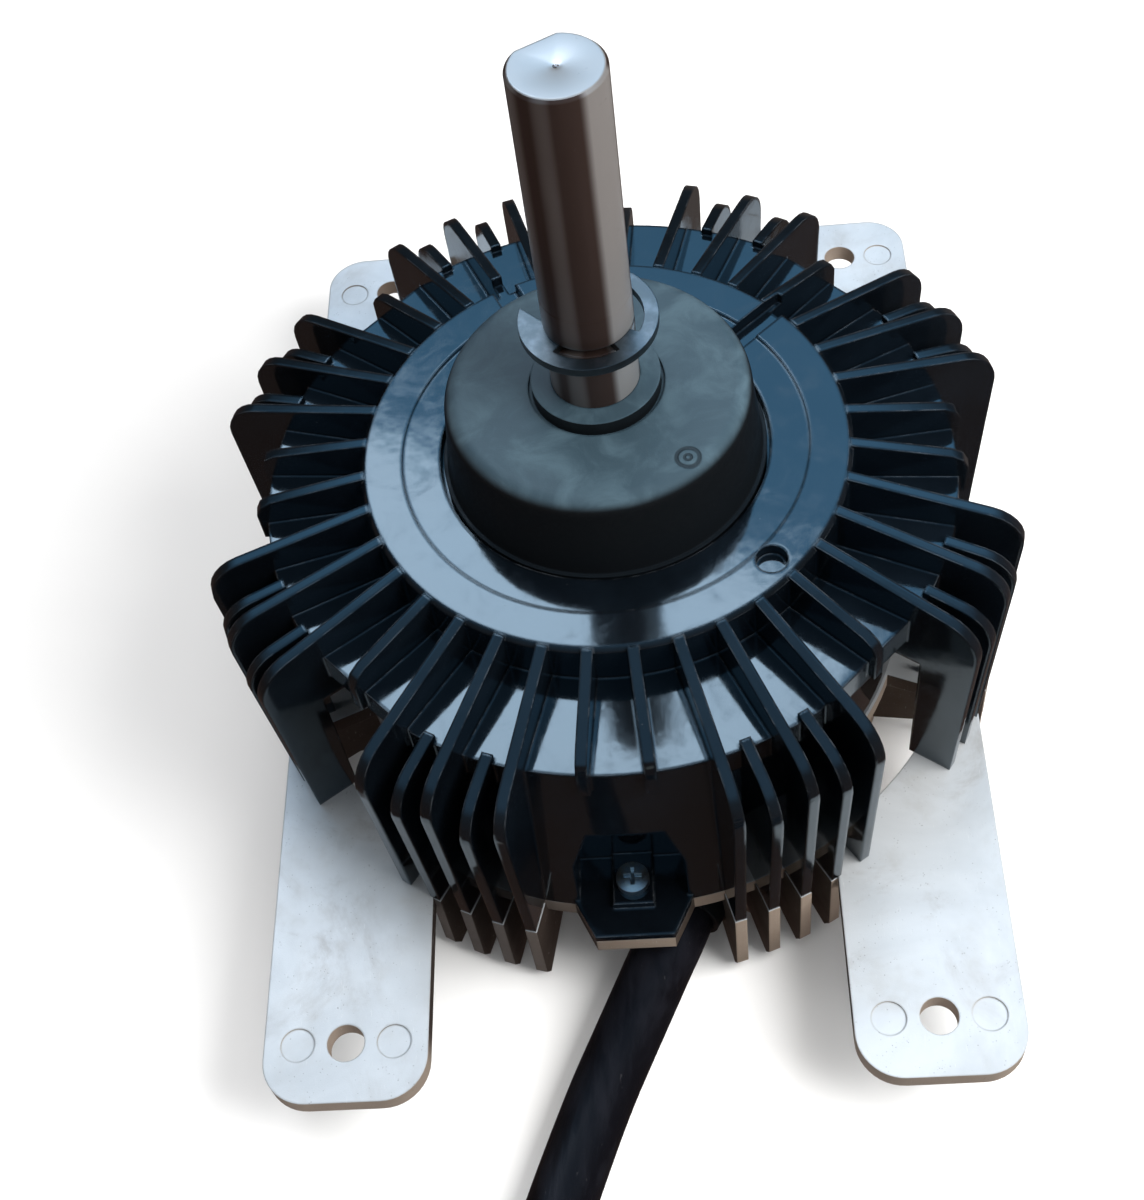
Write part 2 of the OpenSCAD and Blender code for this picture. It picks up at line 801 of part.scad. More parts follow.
// Resin frame that keeps the windings off the steel at one end
module slot_insulator() {
    linear_extrude(liner_t) {
        difference() {
            circle(insulator_r);
            circle(stator_r - yoke_w);
        }
        tooth_outline(0);
        tooth_tips(bore_r + 0.2, bore_r + tip_t);
    }
    linear_extrude(insulator_rim) {
        tooth_tips(bore_r + 0.6, coil_in_r - 0.15);
        difference() {
            circle(stator_r - yoke_w + 1.4);
            circle(norm([coil_out_r, tooth_w / 2 + coil_w + 0.2]) + 0.15);
        }
    }
}

module upper_slot_insulator() color("#d8d2be")
    translate([0, 0, stator_z + stack_h]) slot_insulator();

module lower_slot_insulator() color("#d8d2be")
    translate([0, 0, stator_z]) mirror([0, 0, 1]) slot_insulator();

// A winding is a rounded frame round its tooth
module rounded_frame(wide, high, corner) {
    for (x = [-1, 1], y = [-1, 1])
        translate([x * (wide / 2 - corner), y * (high / 2 - corner)]) circle(corner);
    square([wide - 2 * corner, high], center = true);
    square([wide, high - 2 * corner], center = true);
}

module stator_coils() color("#b5622d") each_tooth()
    translate([coil_in_r, 0, stator_z + stack_h / 2]) rotate([90, 0, 90])
        linear_extrude(coil_out_r - coil_in_r) difference() {
            rounded_frame(tooth_w + 2 * coil_w + winding_clear,
                          stack_h + 2 * liner_t + 2 * coil_w, coil_w);
            square([tooth_w + winding_clear, stack_h + 2 * liner_t], center = true);
        }

// Pins that carry the winding ends down to the board
module coil_terminal_pins() color("#c8a24a") for (a = [20, 140, 260])
    at_angle(a) translate([stator_r - yoke_w - 0.6, 0, board_z + board_t])
        block([pin_w, pin_w], 0, stator_z - insulator_rim - board_z - board_t);

// ---- electronics ----

module circuit_board() color("#1f5a36") difference() {
    translate([0, 0, board_z]) cylinder(h = board_t, r = board_r);
    translate([0, 0, board_z - 1]) cylinder(h = board_t + 2, r = board_hole_r);
    for (a = post_angles) at_angle(a) translate([post_at, 0, board_z - 1])
        cylinder(h = board_t + 2, r = board_screw_r);
}

module circuit_board_screws() color("#c9ccd0") for (a = post_angles) at_angle(a)
    translate([post_at, 0, 0]) {
        translate([0, 0, board_z - board_screw_len])
            cylinder(h = board_screw_len + board_t, r = board_screw_r);
        translate([0, 0, board_z + board_t])
            cylinder(h = board_screw_head[1], r = board_screw_head[0]);
    }

module power_module() color("#2b2d30")
    translate(land_at) block(module_size, land_z + pad_t, board_z);

module thermal_pad() color("#9fb0b8")
    translate(land_at) block([land[0] - 1, land[1] - 3], land_z, land_z + pad_t);

module smoothing_capacitors() color("#1c2a44") for (spot = capacitor_at)
    translate([spot[0], spot[1], board_z - capacitor_h])
        cylinder(h = capacitor_h, r = capacitor_r);

module hall_sensors() color("#202224") for (a = sensor_angles)
    at_angle(a) translate([rotor_r - 3, 0, 0])
        block([sensor_size[0], sensor_size[1]], board_z + board_t, board_z + board_t + sensor_size[2]);

module control_chip() color("#1a1b1d")
    translate(chip_at) block([chip_size[0], chip_size[1]], board_z + board_t,
                             board_z + board_t + chip_size[2]);

module board_connector() color("#e9e6dc")
    translate(connector_at)
        block([connector_size[0], connector_size[1]], board_z - connector_size[2], board_z);

// Leads from the grommet to the board's connector
module internal_wires() color("#a33a32") for (i = [0:wire_count - 1])
    translate([connector_at[0] + 2.2 * (i - (wire_count - 1) / 2), connector_at[1] - 3 - wire_r, 0]) {
        translate([0, 0, exit_point[2]]) {
            cylinder(h = board_z - 1 - exit_point[2], r = wire_r);
            sphere(wire_r);
            rotate([90, 0, 0]) cylinder(h = 6, r = wire_r);
        }
    }

// ---- cable ----

module cable_grommet() color("#1b1b1b") gland_axis() rotate_extrude() difference() {
    union() {
        translate([0, grommet_start]) square([grommet_neck_r, entry_wall + grommet_flange + eps]);
        translate([0, grommet_start]) square([grommet_r, grommet_flange]);
        polygon([
            [0, entry_front], [grommet_r, entry_front], [grommet_r, entry_front + grommet_rim],
            [grommet_tip_r, entry_front + grommet_tail], [0, entry_front + grommet_tail]
        ]);
    }
    translate([-1, -20]) square([cable_r + 1, 60]);
}

// Points of a ring round the route at point i
function heading(p, i) =
    let (a = p[max(i - 1, 0)], b = p[min(i + 1, len(p) - 1)], d = b - a) d / norm(d);
function ring_points(p, i, r) =
    let (h = heading(p, i), side = cross(h, [0, 0, 1]) / norm(cross(h, [0, 0, 1])), up = cross(side, h))
    [for (k = [0:cable_sides - 1])
        p[i] + r * (cos(360 * k / cable_sides) * side + sin(360 * k / cable_sides) * up)];

// A closed tube swept along a list of points
module tube(p, r) {
    n = cable_sides;
    last = len(p) - 1;
    points = [for (i = [0:last]) each ring_points(p, i, r)];
    walls = [for (i = [0:last - 1], k = [0:n - 1])
        [i * n + k, i * n + (k + 1) % n, (i + 1) * n + (k + 1) % n, (i + 1) * n + k]];
    start = [for (k = [0:n - 1]) n - 1 - k];
    finish = [for (k = [0:n - 1]) last * n + k];
    polyhedron(points, concat(walls, [start, finish]), convexity = 6);
}

module lead_cable() color("#17181a") tube(cable_points, cable_r);
module cable_tail() color("#17181a") tube(tail_points, cable_r);

// Two turns that lie flat, one inside the other
module cable_coil() color("#17181a") translate(coil_centre) rotate_extrude() {
    for (turn = [coil_inner_turn, coil_outer_turn]) translate([turn, 0]) circle(cable_r);
    translate([coil_inner_turn, -cable_r])
        square([coil_outer_turn - coil_inner_turn, cable_d]);
}

module coil_tie() color("#e4e4e0") translate(coil_centre) rotate([0, 0, tie_angle])
    translate([(coil_inner_turn + coil_outer_turn) / 2, 0, 0]) rotate([90, 0, 0])
        linear_extrude(tie_w, center = true) difference() {
            half = (coil_outer_turn - coil_inner_turn) / 2;
            translate([-half - cable_r - tie_t, -coil_centre[2]])
                square([2 * (half + cable_r + tie_t), coil_centre[2] + cable_r + tie_t]);
            for (x = [-half, half]) translate([x, 0]) circle(cable_r + 0.1);
            square([2 * half, cable_d + 0.2], center = true);
        }

// Along -Y from the end of the tail
module tail_axis() {
    translate(tail_points[len(tail_points) - 1]) rotate([90, 0, 0]) children();
}

module heat_shrink_sleeve() color("#101113") tail_axis() rotate_extrude() polygon([
    [0, 0], [cable_r, 0], [cable_r, shrink_len - 4], [shrink_end_r, shrink_len], [0, shrink_len]
]);

module connector_wires() color("#b53a30") tail_axis() for (i = [0:wire_count - 1])
    translate([(i - (wire_count - 1) / 2) * wire_pitch, 0, shrink_len])
        cylinder(h = wire_len, r = wire_r);

module connector_housing() color("#ece9df") tail_axis()
    translate([0, 0, shrink_len + wire_len]) difference() {
        block([plug_size[0], plug_size[2]], 0, plug_size[1]);
        block([plug_size[0] - 2 * plug_wall, plug_size[2] - 2 * plug_wall],
              plug_size[1] - plug_mouth, plug_size[1] + 1);
    }

module connector_terminals() color("#c8a24a") tail_axis() for (i = [0:wire_count - 1])
    translate([(i - (wire_count - 1) / 2) * wire_pitch, 0, 0])
        block([terminal_w, terminal_w], shrink_len + wire_len + plug_size[1] - plug_mouth,
              shrink_len + wire_len + plug_size[1] - plug_mouth + terminal_len);

// ---- nodes ----

mounting_bracket();
motor_housing();
housing_gasket();
housing_screws();
output_shaft();
shaft_retaining_ring();
rubber_slinger();
upper_bearing_outer_race();
upper_bearing_inner_race();
upper_bearing_balls();
upper_bearing_cage();
upper_bearing_shields();
lower_bearing_outer_race();
lower_bearing_inner_race();
lower_bearing_balls();
lower_bearing_cage();
lower_bearing_shields();
bearing_preload_spring();
rotor_core();
rotor_magnets();
rotor_sleeve();
rotor_end_plates();
stator_core();
upper_slot_insulator();
lower_slot_insulator();
stator_coils();
coil_terminal_pins();
circuit_board();
circuit_board_screws();
power_module();
thermal_pad();
smoothing_capacitors();
hall_sensors();
control_chip();
board_connector();
internal_wires();
cable_grommet();
lead_cable();
cable_coil();
coil_tie();
cable_tail();
heat_shrink_sleeve();
connector_wires();
connector_housing();
connector_terminals();
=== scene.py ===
"""Looks for a finned brushless fan motor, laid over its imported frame. Lengths are metres."""
import json
import math

import bpy
import numpy as np
from mathutils import Matrix, Vector


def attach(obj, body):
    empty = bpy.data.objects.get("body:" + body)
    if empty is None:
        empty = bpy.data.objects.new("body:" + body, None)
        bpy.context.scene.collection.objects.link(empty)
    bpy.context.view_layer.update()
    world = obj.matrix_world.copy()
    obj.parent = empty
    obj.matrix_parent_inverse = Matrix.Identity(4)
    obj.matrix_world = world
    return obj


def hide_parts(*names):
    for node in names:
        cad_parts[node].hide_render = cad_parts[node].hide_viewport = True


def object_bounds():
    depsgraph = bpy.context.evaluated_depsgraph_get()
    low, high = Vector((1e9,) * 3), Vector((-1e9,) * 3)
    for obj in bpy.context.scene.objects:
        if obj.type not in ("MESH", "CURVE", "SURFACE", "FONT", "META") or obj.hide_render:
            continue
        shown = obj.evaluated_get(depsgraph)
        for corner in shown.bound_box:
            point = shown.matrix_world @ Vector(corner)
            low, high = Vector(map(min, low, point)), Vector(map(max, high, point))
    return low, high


MM = 0.001
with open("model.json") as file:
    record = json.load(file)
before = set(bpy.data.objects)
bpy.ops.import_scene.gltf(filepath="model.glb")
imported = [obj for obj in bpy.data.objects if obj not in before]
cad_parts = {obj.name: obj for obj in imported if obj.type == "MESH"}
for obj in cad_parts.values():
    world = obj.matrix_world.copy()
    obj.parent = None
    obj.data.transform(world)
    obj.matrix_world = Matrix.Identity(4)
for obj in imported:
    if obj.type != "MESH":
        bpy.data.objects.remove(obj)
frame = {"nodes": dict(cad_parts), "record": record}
nodes = frame["nodes"]
cad_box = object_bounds()
scene = bpy.context.scene

# ---------------------------------------------------------------- camera

AZIMUTH, ELEVATION, ROLL = (math.radians(a) for a in (7.44, 55.66, 9.80))
LENS_MM = 53.67
EYE = Vector((15.64, -199.4, 317.4)) * MM


def make_camera():
    """Camera turned about its own view line by ROLL, from azimuth and elevation of the way back."""
    back = Vector((
        math.sin(AZIMUTH) * math.cos(ELEVATION),
        -math.cos(AZIMUTH) * math.cos(ELEVATION),
        math.sin(ELEVATION),
    ))
    level = (-back).cross(Vector((0, 0, 1))).normalized()
    down = (-back).cross(level)
    right = math.cos(ROLL) * level + math.sin(ROLL) * down
    below = -math.sin(ROLL) * level + math.cos(ROLL) * down
    data = bpy.data.cameras.new("main_camera")
    data.lens, data.sensor_width, data.clip_start = LENS_MM, 36, 0.01
    camera = bpy.data.objects.new("main_camera", data)
    camera.matrix_world = Matrix((
        (right[0], -below[0], back[0], EYE[0]),
        (right[1], -below[1], back[1], EYE[1]),
        (right[2], -below[2], back[2], EYE[2]),
        (0, 0, 0, 1),
    ))
    scene.collection.objects.link(camera)
    scene.camera = camera


make_camera()

# ---------------------------------------------------------------- surfaces on a grid


def add_piece(name, points, faces, smooth=True):
    """Mesh object from points and a list of faces, which may differ in their number of corners."""
    mesh = bpy.data.meshes.new(name)
    mesh.from_pydata(np.asarray(points, float).tolist(), [], faces)
    mesh.polygons.foreach_set("use_smooth", np.full(len(mesh.polygons), smooth))
    mesh.update()
    piece = bpy.data.objects.new(name, mesh)
    scene.collection.objects.link(piece)
    return piece


def grid_faces(rows, columns, wrap):
    """Quads of a grid numbered row by row. wrap joins the last column to the first."""
    last = columns if wrap else columns - 1
    i, j = np.meshgrid(np.arange(rows - 1), np.arange(last), indexing="ij")
    k = (j + 1) % columns
    corners = (i * columns + j, i * columns + k, (i + 1) * columns + k, (i + 1) * columns + j)
    return np.stack(corners, -1).reshape(-1, 4)


CURVE_SPLITS = 24  # points on a curve between two given ones, before they are evened out


def resample(points, step):
    """Points at even steps along a Catmull-Rom curve, and how far along it each one is."""
    p = np.asarray(points, float)
    p = np.vstack([2 * p[0] - p[1], p, 2 * p[-1] - p[-2]])
    t = np.linspace(0, 1, CURVE_SPLITS, endpoint=False)[:, None]
    pieces = [
        0.5 * (2 * b + (c - a) * t + (2 * a - 5 * b + 4 * c - d) * t**2
               + (3 * b - a - 3 * c + d) * t**3)
        for a, b, c, d in zip(p[:-3], p[1:-2], p[2:-1], p[3:])
    ]
    fine = np.vstack([*pieces, p[-2:-1]])
    run = np.concatenate([[0], np.cumsum(np.linalg.norm(np.diff(fine, axis=0), axis=1))])
    count = max(2, int(round(run[-1] / step)) + 1)
    even = np.linspace(0, run[-1], count)
    return np.stack([np.interp(even, run, fine[:, k]) for k in range(3)], 1), even


def carried_frames(path):
    """Side and up directions along a path that stays near level: side = tangent x Z."""
    tangent = np.gradient(path, axis=0)
    tangent /= np.linalg.norm(tangent, axis=1)[:, None]
    side = np.cross(tangent, [0, 0, 1.0])
    side /= np.linalg.norm(side, axis=1)[:, None]
    return side, np.cross(side, tangent)


def carried_tube(name, path, run, radius, sides):
    """Closed tube: point(s, a) = path(s) + radius(s, a) * (cos a * side(s) + sin a * up(s))."""
    angle = np.linspace(0, 2 * np.pi, sides, endpoint=False)
    side, up = carried_frames(path)
    r = np.broadcast_to(radius(run[:, None], angle[None, :]), (len(run), sides))
    ring = (path[:, None] + r[..., None] * (np.cos(angle)[None, :, None] * side[:, None]
                                           + np.sin(angle)[None, :, None] * up[:, None]))
    points = np.vstack([ring.reshape(-1, 3), path[0], path[-1]])
    first, last = len(points) - 2, len(points) - 1
    k, base = np.arange(sides), (len(run) - 1) * sides
    faces = grid_faces(len(run), sides, True)[:, ::-1].tolist()
    faces += np.stack([k, np.full(sides, first), (k + 1) % sides], 1)[:, ::-1].tolist()
    faces += np.stack([base + k, base + (k + 1) % sides, np.full(sides, last)], 1)[:, ::-1].tolist()
    return make_outward(add_piece(name, points, faces))


def make_outward(piece):
    """Turns every face of a closed mesh outwards, by the sign of its volume."""
    mesh = piece.data
    mesh.calc_loop_triangles()
    tri = np.zeros(len(mesh.loop_triangles) * 3, np.int32)
    mesh.loop_triangles.foreach_get("vertices", tri)
    co = np.zeros(len(mesh.vertices) * 3, np.float32)
    mesh.vertices.foreach_get("co", co)
    a, b, c = (co.reshape(-1, 3)[tri.reshape(-1, 3)[:, k]] for k in range(3))
    if np.einsum("ij,ij->i", a, np.cross(b, c)).sum() < 0:
        mesh.flip_normals()
    return piece


# ---------------------------------------------------------------- cable

CABLE_R = 6.25 * MM
SLEEVE_SHARE = 0.968  # mean radius of the sleeve as a share of CABLE_R
SLEEVE_STEP, SLEEVE_SIDES = 2.4 * MM, 28
LEAD = [
    (15, -49, 10.3), (12.7, -53.5, 10.3), (10.5, -57.9, 10.3), (8.2, -62.4, 10.2), (6, -67, 9.8),
    (3.4, -72, 9.1), (0.5, -77.8, 8.1), (-3.5, -86, 7.1), (-7.5, -94.5, 6.5), (-11, -103, 6.4),
    (-14.5, -112, 6.4), (-18, -121.5, 6.4), (-21.5, -131, 6.4), (-25, -141, 6.4),
    (-28.5, -151, 6.4), (-32, -161, 6.4), (-35, -170, 6.4),
]
TAIL = [
    (78, -166.5, 6.4), (74, -161, 6.4), (68, -156.5, 6.4), (61, -153.5, 6.4), (54, -152.5, 6.4),
    (47, -153.5, 6.4), (40, -156, 6.4), (34, -160.5, 6.4), (30, -166, 6.4), (27.5, -171, 6.4),
    (26.5, -176.5, 6.4), (26.5, -181.5, 6.4),
]
COIL_CENTRE = np.array([29.5, -194.5, 6.4])
OUTER_TURN, INNER_TURN = 69, 56
COIL_START, COIL_SWEEP, COIL_POINTS = 159.3, 590.7, 118
STEP_FROM, STEP_LONG = 270, 80


def coil_turns():
    """Two flat turns: the outer radius, then from STEP_FROM degrees on a smooth step inwards."""
    swept = np.linspace(0, COIL_SWEEP, COIL_POINTS)[1:-1]
    share = np.clip((swept - STEP_FROM) / STEP_LONG, 0, 1)
    radius = OUTER_TURN - (OUTER_TURN - INNER_TURN) * share * share * (3 - 2 * share)
    a = np.radians(COIL_START + swept)
    return COIL_CENTRE + np.stack([radius * np.cos(a), radius * np.sin(a), 0 * a], 1)


def sleeve_radius(s, a):
    """Vinyl sleeve drawn over five wires: faint flutes and slow pinches, never past CABLE_R."""
    flutes = 0.012 * np.cos(5 * a + 9 * np.sin(s * 11)) + 0.008 * np.cos(2 * a + s * 34)
    pinch = 0.010 * np.sin(s * 71 + 1.3) * np.sin(s * 23)
    return CABLE_R * (SLEEVE_SHARE + flutes + pinch)


def make_sleeve():
    """The whole free cable as one tube, in place of the three solids of its route."""
    path = np.vstack([LEAD, coil_turns(), TAIL]) * MM
    line, run = resample(path, SLEEVE_STEP)
    sleeve = carried_tube("cable_sleeve", line, run, sleeve_radius, SLEEVE_SIDES)
    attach(sleeve, "frame")
    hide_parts("lead_cable", "cable_coil", "cable_tail")
    return sleeve


TIE_ANGLE, TIE_WIDE, TIE_THICK = math.radians(245), 4.6 * MM, 0.9 * MM
HEAD_SIZE, HEAD_CORNER = (5.2 * MM, 5.8 * MM, 3.4 * MM), 0.7 * MM
HEAD_OUT, HEAD_UP = 0.5 * MM, 1.2 * MM
WIRE_R, WIRE_PITCH, WIRE_SIDES, WIRE_POINTS = 0.95 * MM, 2.2 * MM, 14, 25
WIRE_BOW_ACROSS, WIRE_BOW_UP = 0.5 * MM, 0.9 * MM
WIRE_START, WIRE_END = 197.5 * MM, 215.5 * MM
WIRE_COLOURS = ("red", "black", "white", "yellow", "blue")


def make_tie():
    """Nylon strap round both turns, with its square head.

    The band is a stadium round two circles of CABLE_R, cut off level just above the ground.
    """
    count, half = 72, (OUTER_TURN - INNER_TURN) / 2 * MM
    centre_x, centre_y, centre_z = COIL_CENTRE * MM
    a = np.linspace(0, 2 * np.pi, count, endpoint=False)
    offset = np.array([0, TIE_THICK * 0.1, TIE_THICK, TIE_THICK * 0.9])[None, :]
    wide = np.array([-1, 1, 1, -1])[None, :] * TIE_WIDE / 2
    out = np.clip(np.cos(a) * 3, -1, 1)[:, None] * half + (CABLE_R + offset) * np.cos(a)[:, None]
    high = np.maximum(centre_z + (CABLE_R + offset) * np.sin(a)[:, None], 0.1 * MM + offset * 0.25)
    along = np.broadcast_to(wide, out.shape)
    local = np.stack([out, along, high], -1).reshape(-1, 3)
    faces = grid_faces(count, 4, True).tolist()
    k = np.arange(4)
    base = (count - 1) * 4
    faces += np.stack([base + k, base + (k + 1) % 4, (k + 1) % 4, k], 1).tolist()
    head, head_faces = rounded_block(HEAD_SIZE, HEAD_CORNER)
    head = head + np.array([HEAD_OUT, 0, centre_z + CABLE_R + HEAD_UP])
    faces += (head_faces + len(local)).tolist()
    local = np.vstack([local, head])
    middle = (OUTER_TURN + INNER_TURN) / 2 * MM
    c, n = math.cos(TIE_ANGLE), math.sin(TIE_ANGLE)
    reach = local[:, 0] + middle
    points = np.stack([
        centre_x + reach * c - local[:, 1] * n,
        centre_y + reach * n + local[:, 1] * c, local[:, 2]], 1)
    band = make_outward(add_piece("tie_band", points, faces))
    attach(band, "frame")
    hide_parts("coil_tie")
    return band


def rounded_block(size, corner, steps=5):
    """Block with round corners: point = corner * ball + half * clip(40 * ball) on a ball's grid."""
    u = np.linspace(-np.pi / 2, np.pi / 2, 2 * steps)
    v = np.linspace(0, 2 * np.pi, 8 * steps, endpoint=False)
    u, v = np.meshgrid(u, v, indexing="ij")
    ball = np.stack([np.cos(u) * np.cos(v), np.cos(u) * np.sin(v), np.sin(u)], -1).reshape(-1, 3)
    half = np.array(size) / 2 - corner
    return ball * corner + np.clip(ball * 40, -1, 1) * half, grid_faces(2 * steps, 8 * steps, True)


def make_wires():
    """Five insulated wires from the shrunk tube to the connector, each bowed its own way."""
    found = []
    start_x, _, start_z = np.array(TAIL[-1]) * MM
    for i, tone in enumerate(WIRE_COLOURS):
        place = i - len(WIRE_COLOURS) // 2
        t = np.linspace(0, 1, WIRE_POINTS)
        bow = np.sin(np.pi * t) ** 2
        path = np.stack([
            start_x - place * WIRE_PITCH + bow * WIRE_BOW_ACROSS * math.sin(2.1 * i),
            0 * t - (WIRE_START + (WIRE_END - WIRE_START) * t),
            start_z + bow * WIRE_BOW_UP * math.cos(1.7 * i + 0.4)], 1)
        run = t * (WIRE_END - WIRE_START)
        wire = carried_tube("wire_" + tone, path, run, lambda s, a: WIRE_R, WIRE_SIDES)
        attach(wire, "frame")
        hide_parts("connector_wires")
        found.append(wire)
    return found


tie, wires = make_tie(), make_wires()
sleeve = make_sleeve()

# ---------------------------------------------------------------- shader arithmetic


class Value:
    """One socket of a finish. Arithmetic on it adds Math nodes to the same finish."""

    def __init__(self, finish, socket):
        self.finish, self.socket = finish, socket

    def _math(self, operation, *others):
        return self.finish.node("Math", {"operation": operation}, **{
            f"i{k}": v for k, v in enumerate((self, *others))})

    def __add__(self, other):
        return self._math("ADD", other)

    def __sub__(self, other):
        return self._math("SUBTRACT", other)

    def __mul__(self, other):
        return self._math("MULTIPLY", other)

    def __truediv__(self, other):
        return self._math("DIVIDE", other)

    def __pow__(self, other):
        return self._math("POWER", other)

    def __rsub__(self, other):
        return (self * -1) + other

    __radd__, __rmul__ = __add__, __mul__

    def above(self, edge):
        """1 past the edge, 0 before it."""
        return self._math("GREATER_THAN", edge)

    def sine(self):
        return self._math("SINE")

    def size(self):
        """The value without its sign."""
        return self._math("ABSOLUTE")

    def top(self, other):
        """The larger of the two."""
        return self._math("MAXIMUM", other)

    def between(self, start, end, low=0.0, high=1.0):
        """low before start, high after end, and a smooth rise between them."""
        return self.finish.node(
            "MapRange", {"interpolation_type": "SMOOTHSTEP", "clamp": True},
            i0=self, i1=start, i2=end, i3=low, i4=high)


class Finish:
    """One procedural material. node() makes any node from its type, settings and socket values.

    A socket is named by its label, with _ for a space, or by i and its number.
    """

    def __init__(self, name, **fixed):
        self.material = bpy.data.materials.new(name)
        self.material.use_nodes = True
        self.tree = self.material.node_tree
        self.shader = self.tree.nodes["Principled BSDF"]
        for socket, value in fixed.items():
            self.shader.inputs[socket.replace("_", " ")].default_value = value
        self.place = self.node("TexCoord", {}, output="Object")

    def node(self, kind, settings, output=0, **inputs):
        made = self.tree.nodes.new("ShaderNode" + kind)
        for name, value in settings.items():
            setattr(made, name, value)
        for name, value in inputs.items():
            numbered = name[0] == "i" and name[1:].isdigit()
            key = int(name[1:]) if numbered else name.replace("_", " ")
            if isinstance(value, Value):
                self.tree.links.new(value.socket, made.inputs[key])
            else:
                made.inputs[key].default_value = value
        return Value(self, made.outputs[output])

    def axes(self):
        """x, y and z of the piece's own coordinates, in metres."""
        return self.parts(self.place)

    def parts(self, vector):
        """x, y and z of a vector."""
        split = self.tree.nodes.new("ShaderNodeSeparateXYZ")
        self.tree.links.new(vector.socket, split.inputs[0])
        return [Value(self, socket) for socket in split.outputs]

    def distance(self, x, y, cx=0.0, cy=0.0):
        """Distance in the plane from the point (cx, cy), in metres."""
        dx, dy = x - cx, y - cy
        return (dx * dx + dy * dy) ** 0.5

    def facing(self):
        """Parts along x, y and z of the direction that the surface faces."""
        return self.parts(self.node("NewGeometry", {}, output="Normal"))

    def edge(self, radius):
        """0 on a flat face, rising to 1 where the surface turns sharply within the radius."""
        soft = self.node("Bevel", {"samples": 4}, Radius=radius)
        true = self.node("NewGeometry", {}, output="Normal")
        along = {"operation": "DOT_PRODUCT"}
        return 1 - self.node("VectorMath", along, output="Value", i0=soft, i1=true)

    def noise(self, per_metre, detail=3.0, rough=0.55, stretch=None, distortion=0.0):
        """Fractal noise from 0 to 1. stretch multiplies the scale along each axis."""
        where = self.place
        if stretch is not None:
            where = self.node("Mapping", {}, Vector=self.place, Scale=stretch)
        return self.node("TexNoise", {}, Vector=where, Scale=per_metre, Detail=detail,
                         Roughness=rough, Distortion=distortion)

    def cells(self, per_metre):
        """Distance to the nearest of many scattered points, in steps of one cell."""
        return self.node("TexVoronoi", {}, output="Distance", Vector=self.place, Scale=per_metre)

    def blend(self, share, first, second):
        """Colour from first at 0 to second at 1. Each is a colour triple or a colour Value."""
        made = self.tree.nodes.new("ShaderNodeMix")
        made.data_type = "RGBA"
        for key, value in ((0, share), (6, first), (7, second)):
            if isinstance(value, Value):
                self.tree.links.new(value.socket, made.inputs[key])
            else:
                made.inputs[key].default_value = value if key == 0 else (*value, 1)
        return Value(self, made.outputs[2])

    def bump(self, height, depth_m, strength=1.0, rounding=None):
        """Normal from a height of 0 to 1 that stands depth_m high. rounding softens edges."""
        inputs = {"Height": height, "Strength": strength, "Distance": depth_m}
        if rounding is not None:
            inputs["Normal"] = self.node("Bevel", {"samples": 6}, Radius=rounding)
        return self.node("Bump", {}, **inputs)

    def use(self, **links):
        """Sets or links the shader's sockets, and gives the material back."""
        for socket, value in links.items():
            target = self.shader.inputs[socket.replace("_", " ")]
            if isinstance(value, Value):
                self.tree.links.new(value.socket, target)
            else:
                target.default_value = value
        return self.material


class Sky(Finish):
    """The surroundings as a finish: its axes are the direction that a ray leaves in."""

    def __init__(self, name):
        scene.world = self.material = bpy.data.worlds.new(name)
        self.material.use_nodes = True
        self.tree = self.material.node_tree
        self.shader = self.tree.nodes["Background"]
        self.place = self.node("TexCoord", {}, output="Object")


# ---------------------------------------------------------------- finishes


def moulded_resin():
    """Glossy black moulded resin: blue-black, smudged gloss, soft ripple, rounded edges that are
    lighter where they face up, as rubbed wear and a painted highlight.
    """
    f = Finish("moulded_resin", Specular_IOR_Level=0.95, Specular_Tint=(0.72, 0.90, 1.0, 1.0))
    cloud = f.noise(55, 4, 0.6)
    smudge = f.noise(140, 5, 0.65, distortion=0.8)
    grain = f.noise(2600, 2, 0.5)
    speck = f.cells(900).between(0.05, 0.10, 1, 0) * f.noise(330, 2).between(0.60, 0.72)
    base = f.blend(cloud.between(0.35, 0.7), (0.0016, 0.0024, 0.0036), (0.0030, 0.0048, 0.0072))
    base = f.blend(speck * 0.35, base, (0.10, 0.105, 0.11))
    lying = f.facing()[2].between(0.25, 0.6)
    # Rounded edges of upward faces are lighter: rubbed wear, and a painted highlight along the fin
    # tops.
    wear_and_highlight = f.edge(0.7 * MM).between(0.10, 0.28) * smudge.between(0.42, 0.62) * lying * 0.8
    base = f.blend(wear_and_highlight, base, (0.062, 0.070, 0.080))
    rough = 0.07 + smudge.between(0.45, 0.75) * 0.12 + grain * 0.02 + speck * 0.2 + wear_and_highlight * 0.15
    ripple = f.noise(210, 2, 0.5) * 0.75 + grain * 0.02
    normal = f.bump(ripple, 0.09 * MM, 0.35, rounding=0.8 * MM)
    return f.use(Base_Color=base, Roughness=rough, Normal=normal)


# FIN_ENDS bounds the painted flank shade; walls from LEG_FROM to LEG_TO are painted tan out of the
# left-side shade.
FIN_ENDS, LEG_FROM, LEG_TO = 94 * MM, 92 * MM, 100 * MM  # distances from the shaft's axis


